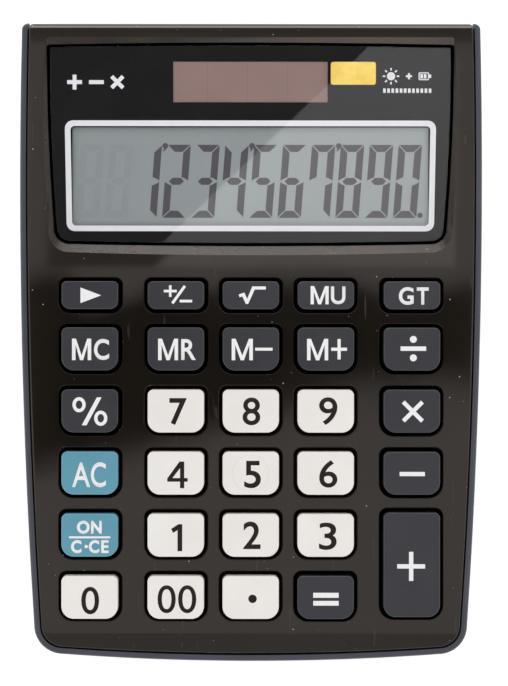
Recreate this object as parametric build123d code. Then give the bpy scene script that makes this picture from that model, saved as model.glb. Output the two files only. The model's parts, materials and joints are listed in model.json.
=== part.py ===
from build123d import *
import math
import os

# A wedge-shaped desk calculator, in millimetres. The shells, the keys and the display are drawn
# in the face frame: X to the right, Y towards the rear, Z out of the flat keypad face at Z = 0.
# STAND then tilts them by the wedge angle, so that the base is level and stands on Z = 0.

os.makedirs("parts", exist_ok=True)

# ---- overall ----
WEDGE = 6.0  # angle between the keypad face and the base, degrees
REAR = 73.2  # rear edge of the case
FRONT = -73.06  # front edge of the case
HALF_WIDTH = 53.0  # half the case's width, at its widest place
WIDEST = 36.9  # how far behind the middle it is widest
SIDE_BOW = 1558.0  # radius of the long side curves
FRONT_BOW = 680.0  # radius of the front curve
FRONT_DEPTH = 11.0  # from the keypad face to the base at the front edge
FOOT_PROUD = 0.8  # how far the rubber feet hold the base off the table
LOWEST = -40.0  # deeper than any wall before the base is trimmed

# ---- shells ----
WALL = 1.4
FLOOR = 2.0
RIM = -1.3  # top of the case's wall, below the keypad face
LEDGE = -4.6  # ledge in the case that carries the cover's skirt
LEDGE_DEEP = 2.0
LEDGE_INSET = 3.2
REAR_SPLIT = -9.0  # the cover's rear wall ends here
SPLIT_GAP = 0.3
NOTCH_STEP = 0.22  # the case closes in on the cover's rear corners by this much
COVER_INSET = 1.95  # from the case's side to the cover's side
COVER_FRONT = 1.9  # from the case's front to the cover's front
PLATE = 2.2  # thickness of the keypad plate
REAR_ROLL = 2.4
FRONT_ROLL = 11.0  # radius of the gentle roll at the front of the plate
FRONT_ROLL_LENGTH = 4.7
COVER_EDGE = 0.35
RIM_EDGE = 0.7
BASE_EDGE = 1.0
REAR_LEAN = math.tan(math.radians(WEDGE))  # makes the rear wall upright

# ---- keys ----
COLUMNS = (-36.58, -17.03, 0.0, 17.03, 36.58)
ROW_PITCH = 14.1
FIRST_ROW = 10.64
SECOND_ROW = -1.57
THIRD_ROW = -15.67
ROWS = (FIRST_ROW, SECOND_ROW, *(THIRD_ROW - n * ROW_PITCH for n in range(4)))
TALL_ROW = -50.55
KEY_WIDTH = 12.8
KEY_DEPTH = 9.75
SMALL_DEPTH = 6.3
TALL_DEPTH = 23.7
KEY_PROUD = 2.6
KEY_DRAFT = 0.08  # how much wider each side is at the flange
KEY_EDGE = 0.22
REAR_CORNER = 1.3
FRONT_CORNER = 2.8
SMALL_CORNERS = (1.1, 1.9)
HOLE_MARGIN_X = 0.75
HOLE_MARGIN_Y = 0.75
HOLE_EDGE = 0.3
FLANGE_MARGIN = 0.56  # how far the flange reaches under the plate
FLANGE_TOP = -PLATE - 0.2
FLANGE = 0.8
KEY_WALL = 1.2
KEY_ROOF = 1.4
PLUNGER_R = 2.0
HOME_DISC_R = 4.05  # low disc on the home key
HOME_DISC = 0.15

# ---- board and dome sheet ----
BOARD_TOP = -7.0
BOARD = 1.2
BOARD_HALF = 45.5
BOARD_FRONT = -63.6
BOARD_REAR = 20.5
SHEET = 1.0
SHEET_REAR = 16.6
DOME_BASE_R = 3.6
DOME_TOP_R = 2.3
DOME_WALL = 0.5
DOME_CLEAR = 0.2
POST_X = (COLUMNS[3] + COLUMNS[4]) / 2
POST_Y = ((ROWS[0] + ROWS[1]) / 2 + 0.7, (ROWS[2] + ROWS[3]) / 2, (ROWS[4] + ROWS[5]) / 2)
POST_R = 1.7
PILOT_R = 0.8

# ---- display ----
DISPLAY_X = -0.15  # the display sits slightly to the left of the keypad's middle
RECESS_REAR = 69.6
RECESS_FRONT = 19.83
RECESS_HALF = 47.25
RECESS_APEX = 50.0
RECESS_BOW = 260.0
WELL_REAR = 68.2
WELL_FRONT = 22.0
WELL_DEEP_REAR = 0.4  # depth of the window's plane at the rear of the well
WELL_DEEP_FRONT = 2.2
WINDOW_REAR = 67.85
WINDOW_FRONT = 22.56
WINDOW_HALF = 45.9
WINDOW_APEX = 64.0
WINDOW_BOW = 478.0
WINDOW_GAP = 0.7
WINDOW = 1.3
MASK = 0.15
SLAB = 1.55  # cover material under the window
MOAT = 1.1  # depth of the groove round the window, below its pocket
VIEW_HALF = 40.85  # the mask's opening over the display glass
VIEW_FRONT = 26.65
VIEW_REAR = 49.2
SOLAR_HALF = 17.7
SOLAR_FRONT = 54.92
SOLAR_REAR = 64.2
GLASS_HALF = 42.5
GLASS_FRONT = 23.6
GLASS_REAR = 50.2
CONTACT_EDGE = 2.5  # strip of the front glass that carries the display's contacts
GLASS_TOP = -2.2
GLASS = 1.0
REFLECTOR = 0.2

# ---- battery ----
CELL_R = 7.25
CELL_BODY = 49.2
NUB = 1.3
NUB_R = 2.75
BAY_R = 7.65
BAY_WALL = 1.0
BAY_HALF = 28.5
CELL_HEIGHT = 10.2  # of the cell's axis above the table
CELL_Y = 60.3
DOOR_HALF = 27.8
DOOR_FRONT = 52.2
DOOR = 1.8
DOOR_GAP = 0.2
TONGUE = 1.5
TONGUE_LOW = 1.1  # height of the tongue's underside above the door's outer face

# ---- fasteners, feet and small pieces ----
# x, y, height of the split, of the head's seat and of the top of the post
CASE_SCREWS = ((POST_X, -66.2, -6.5, -10.0, -2.1), (45.5, 57.0, -12.0, -14.2, -3.1))
FEET = ((40.0, -60.0), (36.0, 64.0))
FOOT_R = 4.5
LEAD_R = 0.45


def half_at(y, half, apex, bow):
    return half - (y - apex) ** 2 / (2 * bow)


def bowed(rear, front, half, apex, bow, rear_bow, front_bow, rear_corner, front_corner):
    """A panel outline: long bowed sides, a straight or arched rear edge, a bulging front edge."""
    sag = half**2 / 2
    rear_y = rear - (sag / rear_bow if rear_bow else 0)
    front_y = front + sag / front_bow
    middle_y = (rear_y + front_y) / 2
    x_rear, x_mid, x_front = (half_at(y, half, apex, bow) for y in (rear_y, middle_y, front_y))
    if rear_bow:
        rear_edge = ThreePointArc((-x_rear, rear_y), (0, rear), (x_rear, rear_y))
    else:
        rear_edge = Line((-x_rear, rear), (x_rear, rear))
    face = make_face(
        [
            rear_edge,
            ThreePointArc((x_rear, rear_y), (x_mid, middle_y), (x_front, front_y)),
            ThreePointArc((x_front, front_y), (0, front), (-x_front, front_y)),
            ThreePointArc((-x_front, front_y), (-x_mid, middle_y), (-x_rear, rear_y)),
        ]
    )
    face = fillet(face.vertices().sort_by(Axis.Y)[:2], front_corner)
    return fillet(face.vertices().sort_by(Axis.Y)[-2:], rear_corner)


def case_outline(inset, lean=0.0):
    return bowed(
        REAR - inset - lean,
        FRONT + inset + lean * 0.16,
        HALF_WIDTH - inset - lean * 0.4,
        WIDEST,
        SIDE_BOW,
        None,
        FRONT_BOW,
        max(1.5 - inset, 0.3),
        max(6.5 - inset, 2.0),
    )


def cover_outline(inset, lean=0.0):
    return bowed(
        REAR - inset - lean,
        FRONT + COVER_FRONT + inset,
        HALF_WIDTH - COVER_INSET - inset,
        WIDEST,
        SIDE_BOW,
        None,
        FRONT_BOW,
        max(1.2 - inset, 0.3),
        max(5.0 - inset, 2.0),
    )


def tub(outline, inset, top, bottom):
    """A solid from one height to another whose sides lean as the outline says."""
    upper = Pos(0, 0, top) * outline(inset, -top * REAR_LEAN)
    lower = Pos(0, 0, bottom) * outline(inset, -bottom * REAR_LEAN)
    return loft([upper, lower])


def block(x0, x1, y0, y1, z0, z1):
    size = (x1 - x0, y1 - y0, z1 - z0)
    return Pos((x0 + x1) / 2, (y0 + y1) / 2, (z0 + z1) / 2) * Box(*size)


def rod(x, y, z0, z1, radius):
    return Pos(x, y, (z0 + z1) / 2) * Cylinder(radius, z1 - z0)


def pad_shape(width, depth, rear_corner, front_corner):
    """A rectangle whose front corners are rounder than its rear corners."""
    face = Rectangle(width, depth)
    face = fillet(face.vertices().sort_by(Axis.Y)[:2], front_corner)
    return fillet(face.vertices().sort_by(Axis.Y)[-2:], rear_corner)


def mirrored(x):
    return (-x, x)


def save(shape, name):
    export_step(shape, f"parts/{name}.step")


def group(shapes):
    """Separate solids that share one node."""
    return Compound(children=list(shapes))


# ---- the two frames ----
BASE_HEIGHT = FOOT_PROUD - FRONT * math.sin(math.radians(WEDGE)) + FRONT_DEPTH * math.cos(
    math.radians(WEDGE)
)
STAND = Pos(0, 0, BASE_HEIGHT) * Rot(WEDGE, 0, 0)
WINDOW_TILT = math.degrees(
    math.atan((WELL_DEEP_FRONT - WELL_DEEP_REAR) / (WELL_REAR - WELL_FRONT))
)
WELL_Y = (WELL_REAR + WELL_FRONT) / 2
WELL_Z = -(WELL_DEEP_FRONT + WELL_DEEP_REAR) / 2
# Display pieces are drawn with the window's upper face at Z = 0 and then laid in the well.
IN_WELL = Pos(DISPLAY_X, WELL_Y, WELL_Z) * Rot(WINDOW_TILT, 0, 0) * Pos(0, -WELL_Y, 0)


def window_outline(gap, rear_corner, front_corner):
    return bowed(
        WINDOW_REAR + gap,
        WINDOW_FRONT - gap,
        WINDOW_HALF + gap,
        WINDOW_APEX,
        WINDOW_BOW,
        2176.0,
        1900.0,
        rear_corner,
        front_corner,
    )


def key_list():
    """Every key: name, column, y of its centre, depth of its cap."""
    grid = (
        ("backspace", "sign", "square_root", "mark_up", "grand_total"),
        ("memory_clear", "memory_recall", "memory_minus", "memory_plus", "divide"),
        ("percent", "7", "8", "9", "multiply"),
        ("all_clear", "4", "5", "6", "minus"),
        ("on_clear", "1", "2", "3", None),
        ("0", "00", "point", "equals", None),
    )
    keys = []
    for row, names in enumerate(grid):
        for column, name in enumerate(names):
            if name:
                depth = SMALL_DEPTH if row == 0 else KEY_DEPTH
                keys.append((f"key_{name}", COLUMNS[column], ROWS[row], depth))
    keys.append(("key_plus", COLUMNS[4], TALL_ROW, TALL_DEPTH))
    return keys


KEYS = key_list()


def corners(depth):
    return SMALL_CORNERS if depth == SMALL_DEPTH else (REAR_CORNER, FRONT_CORNER)


def key_cap(name, depth):
    """A hollow cap with a flange under the plate and a plunger over its dome."""
    rear_r, front_r = corners(depth)
    grow = 2 * KEY_DRAFT
    flange_bottom = FLANGE_TOP - FLANGE
    top = Pos(0, 0, KEY_PROUD) * pad_shape(KEY_WIDTH, depth, rear_r, front_r)
    foot = pad_shape(KEY_WIDTH + grow, depth + grow, rear_r + 0.1, front_r + 0.1)
    cap = loft([top, Pos(0, 0, flange_bottom) * foot])
    cap = fillet(cap.faces().sort_by(Axis.Z)[-1].edges(), KEY_EDGE)
    reach_x = 2 * (HOLE_MARGIN_X + FLANGE_MARGIN)
    reach_y = 2 * (HOLE_MARGIN_Y + FLANGE_MARGIN)
    flange = pad_shape(KEY_WIDTH + reach_x, depth + reach_y, rear_r + 0.4, front_r + 0.4)
    cap += Pos(0, 0, flange_bottom) * extrude(flange, FLANGE)
    hollow = pad_shape(
        KEY_WIDTH - 2 * KEY_WALL, depth - 2 * KEY_WALL, 0.5, max(front_r - KEY_WALL, 0.5)
    )
    cap -= Pos(0, 0, flange_bottom) * extrude(hollow, KEY_PROUD - KEY_ROOF - flange_bottom)
    cap += rod(0, 0, flange_bottom, KEY_PROUD - KEY_ROOF + 0.1, PLUNGER_R)
    if name == "key_5":
        disc = rod(0, 0, KEY_PROUD - 0.3, KEY_PROUD + HOME_DISC, HOME_DISC_R)
        cap += fillet(disc.faces().sort_by(Axis.Z)[-1].edges(), HOME_DISC - 0.02)
    return cap


def make_keys():
    for name, x, y, depth in KEYS:
        save(STAND * Pos(x, y, 0) * key_cap(name, depth), name)


def key_holes():
    """The openings in the plate, with a rounded upper edge left on the plate."""
    tools = []
    for _, x, y, depth in KEYS:
        rear_r, front_r = corners(depth)
        shape = pad_shape(
            KEY_WIDTH + 2 * HOLE_MARGIN_X, depth + 2 * HOLE_MARGIN_Y, rear_r + 0.4, front_r + 0.4
        )
        tools.append(Pos(x, y, -PLATE - 1) * extrude(shape, PLATE + 2))
    return tools


def window_well():
    """Sloped sides of the recess, the pocket for the window, and the openings under it."""
    mouth = Pos(DISPLAY_X, 0, 0) * bowed(
        RECESS_REAR, RECESS_FRONT, RECESS_HALF, RECESS_APEX, RECESS_BOW, None, 1400.0, 0.8, 4.7
    )
    seat = IN_WELL * window_outline(WINDOW_GAP - 0.1, 0.6, 3.4)
    slope = loft([mouth, seat])
    above = extrude(mouth, 2)
    pocket_floor = -WINDOW - MASK
    pocket = IN_WELL * Pos(0, 0, pocket_floor) * extrude(
        window_outline(WINDOW_GAP - 0.1, 0.6, 3.4), 0.02 - pocket_floor
    )
    moat = extrude(window_outline(WINDOW_GAP - 0.1, 0.6, 3.4), -MOAT)
    moat -= extrude(window_outline(-0.3, 0.3, 2.6), -MOAT)
    pocket += IN_WELL * Pos(0, 0, pocket_floor + 0.01) * moat
    deep = pocket_floor - SLAB - 1
    glass = block(
        -GLASS_HALF - 0.4, GLASS_HALF + 0.4, GLASS_FRONT - 0.3, GLASS_REAR + 0.4, deep, 0
    )
    solar = block(-19.4, 19.4, SOLAR_FRONT - 1.7, SOLAR_REAR + 1.6, deep, 0)
    return slope, above, pocket, IN_WELL * glass, IN_WELL * solar


def stakes():
    """Pins on the cover with flattened heads that hold the display clamp."""
    pins = []
    for x in (-44.8, 44.8):
        for y in (27.0, 47.5):
            pin = rod(x, y, -5.95, -2.5, 0.8) + rod(x, y, -6.45, -5.95, 1.3)
            pins.append(IN_WELL * pin)
    return pins


def rolled(shape, y, z, radius, outward):
    """Rolls an edge that runs along X: what lies beyond the roll's cylinder is taken off."""
    y0, y1 = sorted((y, y + outward * 2 * radius))
    corner = block(-70, 70, y0, y1, z, z + 2 * radius)
    keep = Pos(0, y, z) * Rot(0, 90, 0) * Cylinder(radius, 140)
    return shape - (corner - keep)


def cover_body():
    """The cover's outer form, with its rear roll, its gentle front roll and a fine edge."""
    body = tub(cover_outline, 0, 0, REAR_SPLIT)
    front_start = FRONT + COVER_FRONT + FRONT_ROLL_LENGTH
    body = rolled(body, front_start, -FRONT_ROLL, FRONT_ROLL, -1)
    body = rolled(body, REAR - REAR_ROLL * (1 + REAR_LEAN), -REAR_ROLL, REAR_ROLL, 1)
    side = body.edges().filter_by_position(Axis.Z, -0.001, 0.001)
    side = [edge for edge in side if abs(edge.center().X) > HALF_WIDTH - 8]
    return fillet(side, COVER_EDGE)


def make_top_cover():
    outer = cover_body()
    inner = tub(cover_outline, WALL, -PLATE, REAR_SPLIT - 1)
    cover = outer - inner
    cover -= block(-60, 60, FRONT - 1, REAR - 6, REAR_SPLIT - 1, LEDGE)
    slab_low = -WINDOW - MASK - SLAB
    slab = IN_WELL * block(-49.3, 49.3, WELL_FRONT - 3.2, 70.6, slab_low, 0)
    cover += slab & outer
    slope, above, pocket, glass, solar = window_well()
    cover -= slope
    cover -= above
    cover -= pocket
    cover -= glass
    cover -= solar
    for tool in key_holes():
        cover -= tool
    rims = [
        edge
        for edge in cover.edges().filter_by_position(Axis.Z, -0.001, 0.001)
        if edge.center().Y < WELL_FRONT - 4 and abs(edge.center().X) < 46
        and edge.center().Y > ROWS[5] - KEY_DEPTH
    ]
    cover = fillet(rims, HOLE_EDGE)
    for x in (-POST_X, POST_X):
        for y in POST_Y:
            cover += rod(x, y, BOARD_TOP, -PLATE + 0.1, POST_R)
            cover -= rod(x, y, BOARD_TOP - 1, -PLATE - 1, PILOT_R)
    for x, y, split, _, top in CASE_SCREWS:
        for side in mirrored(x):
            cover += rod(side, y, split, top, 2.3) & outer
            cover -= rod(side, y, split - 1, split + 4.0, 1.1)
    for pin in stakes():
        cover += pin
    save(STAND * cover, "top_cover")
    return cover


def base_tool(height):
    """Everything below a height above the base, in the face frame."""
    lowest = Pos(0, 0, -50 + height) * Box(300, 300, 100)
    return STAND.inverse() * Pos(0, 0, FOOT_PROUD) * lowest


def make_bottom_case():
    outer = tub(case_outline, 0, RIM, LOWEST)
    inner = tub(case_outline, WALL, RIM + 1, LOWEST) - base_tool(FLOOR)
    rim = outer.faces().sort_by(Axis.Z)[-1]
    outer = fillet(rim.edges(), RIM_EDGE)
    outer -= base_tool(0)
    underside = outer.faces().sort_by(Axis.Z)[0]
    outer = fillet(underside.edges(), BASE_EDGE)
    case = outer - inner
    ring = tub(case_outline, WALL - 0.1, LEDGE, LEDGE - LEDGE_DEEP)
    ring -= tub(case_outline, LEDGE_INSET, LEDGE + 1, LEDGE - LEDGE_DEEP - 1)
    case += ring - block(-60, 60, REAR - 8, REAR + 1, -30, 0)
    notch_half = half_at(REAR, HALF_WIDTH, WIDEST, SIDE_BOW) - COVER_INSET + 0.38
    case -= block(-notch_half, notch_half, REAR - 3, REAR - 1.5, REAR_SPLIT - SPLIT_GAP, 5)
    tight = notch_half - NOTCH_STEP
    case -= block(-tight, tight, REAR - 1.6, REAR + 5, REAR_SPLIT - SPLIT_GAP, 5)
    lip = block(-46, 46, REAR - 3.6, REAR - 2.7, REAR_SPLIT - 3, REAR_SPLIT + 1.5)
    lip += block(-46, 46, REAR - 3.6, REAR - 1.6, REAR_SPLIT - 3, REAR_SPLIT - 1.5)
    case += lip
    for x, y, split, seat, _ in CASE_SCREWS:
        for side in mirrored(x):
            post = rod(side, y, LOWEST, split, 2.3)
            post += rod(side, y, LOWEST, seat + 1.6, 3.6)
            case += (post - base_tool(0.5)) & outer
            case -= rod(side, y, LOWEST, seat, 2.5)
            case -= rod(side, y, seat - 1, split + 1, 1.2)
    stood = STAND * case
    return cut_base(stood)


def bay_solid(radius, half):
    """An arch over the cell, carried down to the floor."""
    arch = Pos(0, CELL_Y, CELL_HEIGHT) * Rot(0, 90, 0) * Cylinder(radius, 2 * half)
    return arch + block(-half, half, CELL_Y - radius, CELL_Y + radius, FOOT_PROUD, CELL_HEIGHT)


def cut_base(case):
    """Battery bay, door opening, foot and label recesses, all square to the level base."""
    low = FOOT_PROUD
    case += bay_solid(BAY_R + BAY_WALL, BAY_HALF + BAY_WALL) - block(
        -60, 60, 0, 100, 0, low + FLOOR - 0.1
    )
    case -= bay_solid(BAY_R, BAY_HALF) - block(-60, 60, 0, 100, 0, low + FLOOR - 0.1)
    for side in mirrored(BAY_HALF + BAY_WALL / 2):
        case -= Pos(side, CELL_Y - 2, CELL_HEIGHT + 4) * Box(3, 3, 1.2)
    opening = block(-BAY_HALF + 1, BAY_HALF - 1, CELL_Y - BAY_R, CELL_Y + BAY_R, low, low + 3)
    case -= opening
    rear = REAR + 5
    door_x = DOOR_HALF + DOOR_GAP
    case -= block(-door_x, door_x, DOOR_FRONT - DOOR_GAP, rear, low - 1, low + DOOR + 0.15)
    groove = door_x + TONGUE
    case -= block(
        -groove, groove, DOOR_FRONT - DOOR_GAP, rear, low + TONGUE_LOW - 0.1, low + DOOR + 0.15
    )
    for x, y in FEET:
        for side in mirrored(x):
            case -= rod(side, y, low - 1, low + 0.8, FOOT_R + 0.1)
    case -= block(-25.1, 25.1, -24.1, -1.9, low - 1, low + 0.25)
    save(case, "bottom_case")
    return case


def make_door():
    """Sliding door: its side tongues run in the case's grooves and it leaves by the rear edge."""
    low = FOOT_PROUD
    rear = REAR * math.cos(math.radians(WEDGE)) - 0.05
    door = block(-DOOR_HALF, DOOR_HALF, DOOR_FRONT, rear, low, low + DOOR)
    lower_rear = door.edges().filter_by(Axis.X).sort_by(Axis.Y)[-2:].sort_by(Axis.Z)[0]
    door = fillet(lower_rear, 1.1)
    reach = DOOR_HALF + TONGUE
    door += block(-reach, reach, DOOR_FRONT, rear - 0.3, low + TONGUE_LOW, low + DOOR)
    for n in range(6):
        y = rear - 3.5 - 1.6 * n
        rib = Pos(0, y, low) * Rot(0, 90, 0) * Cylinder(0.35, 22)
        door += rib
    save(door, "battery_door")


def make_window():
    window = extrude(window_outline(0, 0.4, 2.9), -WINDOW)
    top = window.faces().sort_by(Axis.Z)[-1]
    save(STAND * IN_WELL * fillet(top.edges(), 0.2), "display_window")
    mask = Pos(0, 0, -WINDOW) * extrude(window_outline(-0.1, 0.3, 2.8), -MASK)
    mask -= block(-VIEW_HALF, VIEW_HALF, VIEW_FRONT, VIEW_REAR, -5, 0)
    mask -= block(-SOLAR_HALF, SOLAR_HALF, SOLAR_FRONT, SOLAR_REAR, -5, 0)
    save(STAND * IN_WELL * mask, "display_mask")


def make_display():
    glass_low = GLASS_TOP - GLASS
    rear_low = glass_low - GLASS
    rear_front = GLASS_FRONT + CONTACT_EDGE
    front = block(-GLASS_HALF, GLASS_HALF, GLASS_FRONT, GLASS_REAR, glass_low, GLASS_TOP)
    rear = block(-GLASS_HALF, GLASS_HALF, rear_front, GLASS_REAR, rear_low, glass_low)
    foil = block(
        -GLASS_HALF, GLASS_HALF, rear_front, GLASS_REAR, rear_low - REFLECTOR, rear_low
    )
    save(STAND * IN_WELL * front, "lcd_front_glass")
    save(STAND * IN_WELL * rear, "lcd_rear_glass")
    save(STAND * IN_WELL * foil, "lcd_reflector")
    floor_top = rear_low - REFLECTOR
    rail_top = -WINDOW - MASK - SLAB
    clamp = block(-46.5, 46.5, 22.0, 51.4, floor_top - 1.5, floor_top)
    clamp += block(-46.5, 46.5, 22.0, 51.4, floor_top - 0.1, rail_top)
    clamp -= block(-42.9, 42.9, 21.0, 50.6, floor_top, rail_top + 1)
    clamp -= block(-34, 34, 31, 45, floor_top - 2, floor_top + 1)
    clamp += block(-16, 16, 51.0, 66.0, -5.2, -4.2)
    for x in (-44.8, 44.8):
        for y in (27.0, 47.5):
            clamp -= rod(x, y, floor_top - 2, rail_top + 1, 0.9)
    save(STAND * IN_WELL * clamp, "lcd_clamp")
    cell = block(-19, 19, SOLAR_FRONT - 1.4, SOLAR_REAR + 1.3, -2.55, -WINDOW - MASK)
    save(STAND * IN_WELL * cell, "solar_cell")
    pad = block(-15, 15, SOLAR_FRONT, SOLAR_REAR, -4.2, -2.55)
    save(STAND * IN_WELL * pad, "solar_pad")
    sticker = Pos(23.5, 61.45, 0) * extrude(RectangleRounded(10.3, 5.2, 0.6), 0.06)
    save(STAND * IN_WELL * sticker, "foil_sticker")
    make_ribbon(glass_low)


def make_ribbon(glass_low):
    """Flat connector from the display's contact edge down to the rear edge of the board."""
    thick = 0.15

    def under_glass(y):
        return WELL_Z + (y - WELL_Y) * math.tan(math.radians(WINDOW_TILT)) + glass_low - 0.02

    edge_y = GLASS_FRONT + CONTACT_EDGE - 0.2
    line = [
        (17.6, BOARD_TOP + thick),
        (20.0, BOARD_TOP + thick),
        (22.4, under_glass(23.8) - 0.25),
        (23.8, under_glass(23.8)),
        (edge_y, under_glass(edge_y)),
    ]
    outline = line + [(y, z - thick) for y, z in reversed(line)]
    profile = Plane.YZ * make_face(Polyline(*outline, close=True))
    save(STAND * Pos(-32, 0, 0) * extrude(profile, 64), "lcd_ribbon")


def dome_sheet():
    """Silicone sheet with a hollow dome under every key."""
    floor = BOARD_TOP
    peak = FLANGE_TOP - FLANGE - DOME_CLEAR
    sheet = block(-44.8, 44.8, BOARD_FRONT + 0.3, SHEET_REAR, floor, floor + SHEET)
    for x in (-POST_X, POST_X):
        for y in POST_Y:
            sheet -= rod(x, y, floor - 1, floor + 2, POST_R + 0.3)
    height = peak - floor - SHEET
    for _, x, y, _ in KEYS:
        wall = Pos(x, y, floor + SHEET + height / 2) * Cone(DOME_BASE_R, DOME_TOP_R, height)
        sheet += wall
        hollow = height + SHEET - 1.2
        inner = Pos(x, y, floor + hollow / 2) * Cone(
            DOME_BASE_R - DOME_WALL, DOME_TOP_R - DOME_WALL, hollow
        )
        sheet -= inner
    return sheet


def make_board():
    board = block(-BOARD_HALF, BOARD_HALF, BOARD_FRONT, BOARD_REAR, BOARD_TOP - BOARD, BOARD_TOP)
    low = BOARD_TOP - BOARD
    screws = []
    for x in (-POST_X, POST_X):
        for y in POST_Y:
            board -= rod(x, y, low - 1, BOARD_TOP + 1, PILOT_R + 0.15)
            head = rod(x, y, low - 1.0, low, 1.7)
            slot = rod(x, y, low - 1.1, low - 0.5, 0.2)
            for turn in (0, 90):
                slot += Pos(x, y, low - 0.8) * Rot(0, 0, turn) * Box(1.8, 0.35, 0.6)
            screws.append(head + rod(x, y, low, -PLATE - 1.4, PILOT_R) - slot)
    save(STAND * board, "main_board")
    save(STAND * group(screws), "board_screws")
    save(STAND * dome_sheet(), "dome_sheet")
    pads = [rod(x, y, BOARD_TOP, BOARD_TOP + 0.1, 2.2) for _, x, y, _ in KEYS]
    save(STAND * group(pads), "contact_pads")
    blob = Pos(8, -8, low) * Sphere(9.0)
    blob = Pos(0, 0, 7.3) * blob & block(0, 16, -16, 0, low - 4, low)
    save(STAND * blob, "chip_blob")
    body = Pos(-6, 8, low - 2.6) * Rot(0, 90, 0) * Cylinder(2.5, 11)
    save(STAND * body, "board_capacitor")
    chips = [block(x, x + 2.0, 2.0, 3.25, low - 0.6, low) for x in (-20, -15, 14, 19)]
    save(STAND * group(chips), "board_resistors")


def make_battery():
    turn = Pos(0, CELL_Y, CELL_HEIGHT) * Rot(0, 90, 0)
    plate_x = BAY_HALF - 0.4
    body_end = plate_x - NUB
    middle = body_end - CELL_BODY / 2
    can = turn * Pos(0, 0, middle) * Cylinder(CELL_R, CELL_BODY)
    can = fillet(can.edges().filter_by(GeomType.CIRCLE), 0.8)
    can += turn * Pos(0, 0, body_end + NUB / 2) * Cylinder(NUB_R, NUB)
    save(can, "battery_cell")
    tab_y = CELL_Y - 2
    tab_z = CELL_HEIGHT + 4
    plates = {}
    for side in (-1, 1):
        x0, x1 = sorted((side * plate_x, side * BAY_HALF))
        plate = block(x0, x1, CELL_Y - 4.5, CELL_Y + 4.5, CELL_HEIGHT - 5, CELL_HEIGHT + 5)
        t0, t1 = sorted((side * plate_x, side * (BAY_HALF + 2.4)))
        plates[side] = plate + block(t0, t1, tab_y - 1, tab_y + 1, tab_z - 0.2, tab_z + 0.2)
    save(plates[1], "battery_plate")
    start = -plate_x + 0.25
    length = middle - CELL_BODY / 2 - start - 0.3
    coil = Helix(pitch=length / 4, height=length, radius=4.0, cone_angle=-12)
    wire = sweep((coil ^ 0) * Circle(0.3), path=coil)
    spring = Pos(start, CELL_Y, CELL_HEIGHT) * Rot(0, 90, 0) * wire
    save(plates[-1] + spring, "battery_spring")


def lead(points, radius):
    """An insulated inner wire: straight runs joined by arcs."""
    path = FilletPolyline(*points, radius=radius)
    return sweep((path ^ 0) * Circle(LEAD_R), path=path)


def make_leads():
    """The inner wires, in the face frame, from each contact to the underside of the board."""
    board_low = BOARD_TOP - BOARD
    for side, colour in ((-1, "black"), (1, "red")):
        x = side * 17.6
        route = [
            (x, 57.0, -3.42),
            (x, 57.0, -5.2),
            (x, 53.4, -6.4),
            (x, 50.0, -9.6),
            (x, 21.0, -10.4),
            (x, 18.4, -10.3),
            (x, 18.4, board_low),
        ]
        save(STAND * lead(route, 0.8), f"solar_lead_{colour}")
        x = side * (BAY_HALF + 2.0)
        tab = STAND.inverse() * Pos(x, CELL_Y - 3.0 - LEAD_R, CELL_HEIGHT + 4)
        start = tab.position
        route = [
            (start.X, start.Y, start.Z),
            (x, start.Y - 4, start.Z),
            (x, 40.0, -11.0),
            (x, 19.6, -10.6),
            (x, 17.0, -10.5),
            (x, 17.0, board_low),
        ]
        save(STAND * lead(route, 1.2), f"battery_lead_{colour}")


def make_small_pieces():
    screws = []
    for x, y, split, seat, _ in CASE_SCREWS:
        for side in mirrored(x):
            screw = rod(side, y, seat - 1.3, seat, 2.1) + rod(side, y, seat, split + 3.4, 1.1)
            for turn in (0, 90):
                screw -= Pos(side, y, seat - 1.1) * Rot(0, 0, turn) * Box(2.4, 0.5, 0.9)
            screws.append(screw)
    save(STAND * group(screws), "case_screws")
    feet = []
    for x, y in FEET:
        for side in mirrored(x):
            foot = rod(side, y, 0, FOOT_PROUD + 0.8, FOOT_R)
            feet.append(fillet(foot.faces().sort_by(Axis.Z)[0].edges(), 0.3))
    save(group(feet), "rubber_feet")
    low = FOOT_PROUD
    label = Pos(0, -13, low + 0.05) * extrude(RectangleRounded(49.8, 21.8, 1.0), 0.2)
    save(label, "rating_label")


make_keys()
make_top_cover()
make_bottom_case()
make_door()
make_window()
make_display()
make_board()
make_battery()
make_leads()
make_small_pieces()
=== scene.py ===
"""Looks of the desk calculator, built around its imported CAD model.

Lengths are in millimetres in the face frame (X right, Y to the rear, Z out of the keypad face), and
FACE or GLASS carries them into the row frame in metres.
"""

import json
import math

import bmesh
import bpy
from mathutils import Matrix, Vector


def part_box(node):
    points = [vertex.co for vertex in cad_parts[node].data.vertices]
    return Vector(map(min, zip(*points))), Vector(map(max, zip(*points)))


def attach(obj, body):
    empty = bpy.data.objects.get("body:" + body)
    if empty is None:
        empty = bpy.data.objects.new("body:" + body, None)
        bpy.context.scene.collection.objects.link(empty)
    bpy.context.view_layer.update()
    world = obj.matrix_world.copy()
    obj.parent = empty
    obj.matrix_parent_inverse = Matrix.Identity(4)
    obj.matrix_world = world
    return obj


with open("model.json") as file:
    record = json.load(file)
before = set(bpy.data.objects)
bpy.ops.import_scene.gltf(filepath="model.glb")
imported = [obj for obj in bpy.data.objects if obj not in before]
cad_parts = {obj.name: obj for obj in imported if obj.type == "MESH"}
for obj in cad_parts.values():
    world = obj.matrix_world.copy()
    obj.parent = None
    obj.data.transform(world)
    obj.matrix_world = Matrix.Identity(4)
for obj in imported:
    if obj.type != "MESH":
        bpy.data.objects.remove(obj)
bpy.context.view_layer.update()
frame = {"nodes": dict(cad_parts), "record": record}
NODES = frame["nodes"]

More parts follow.
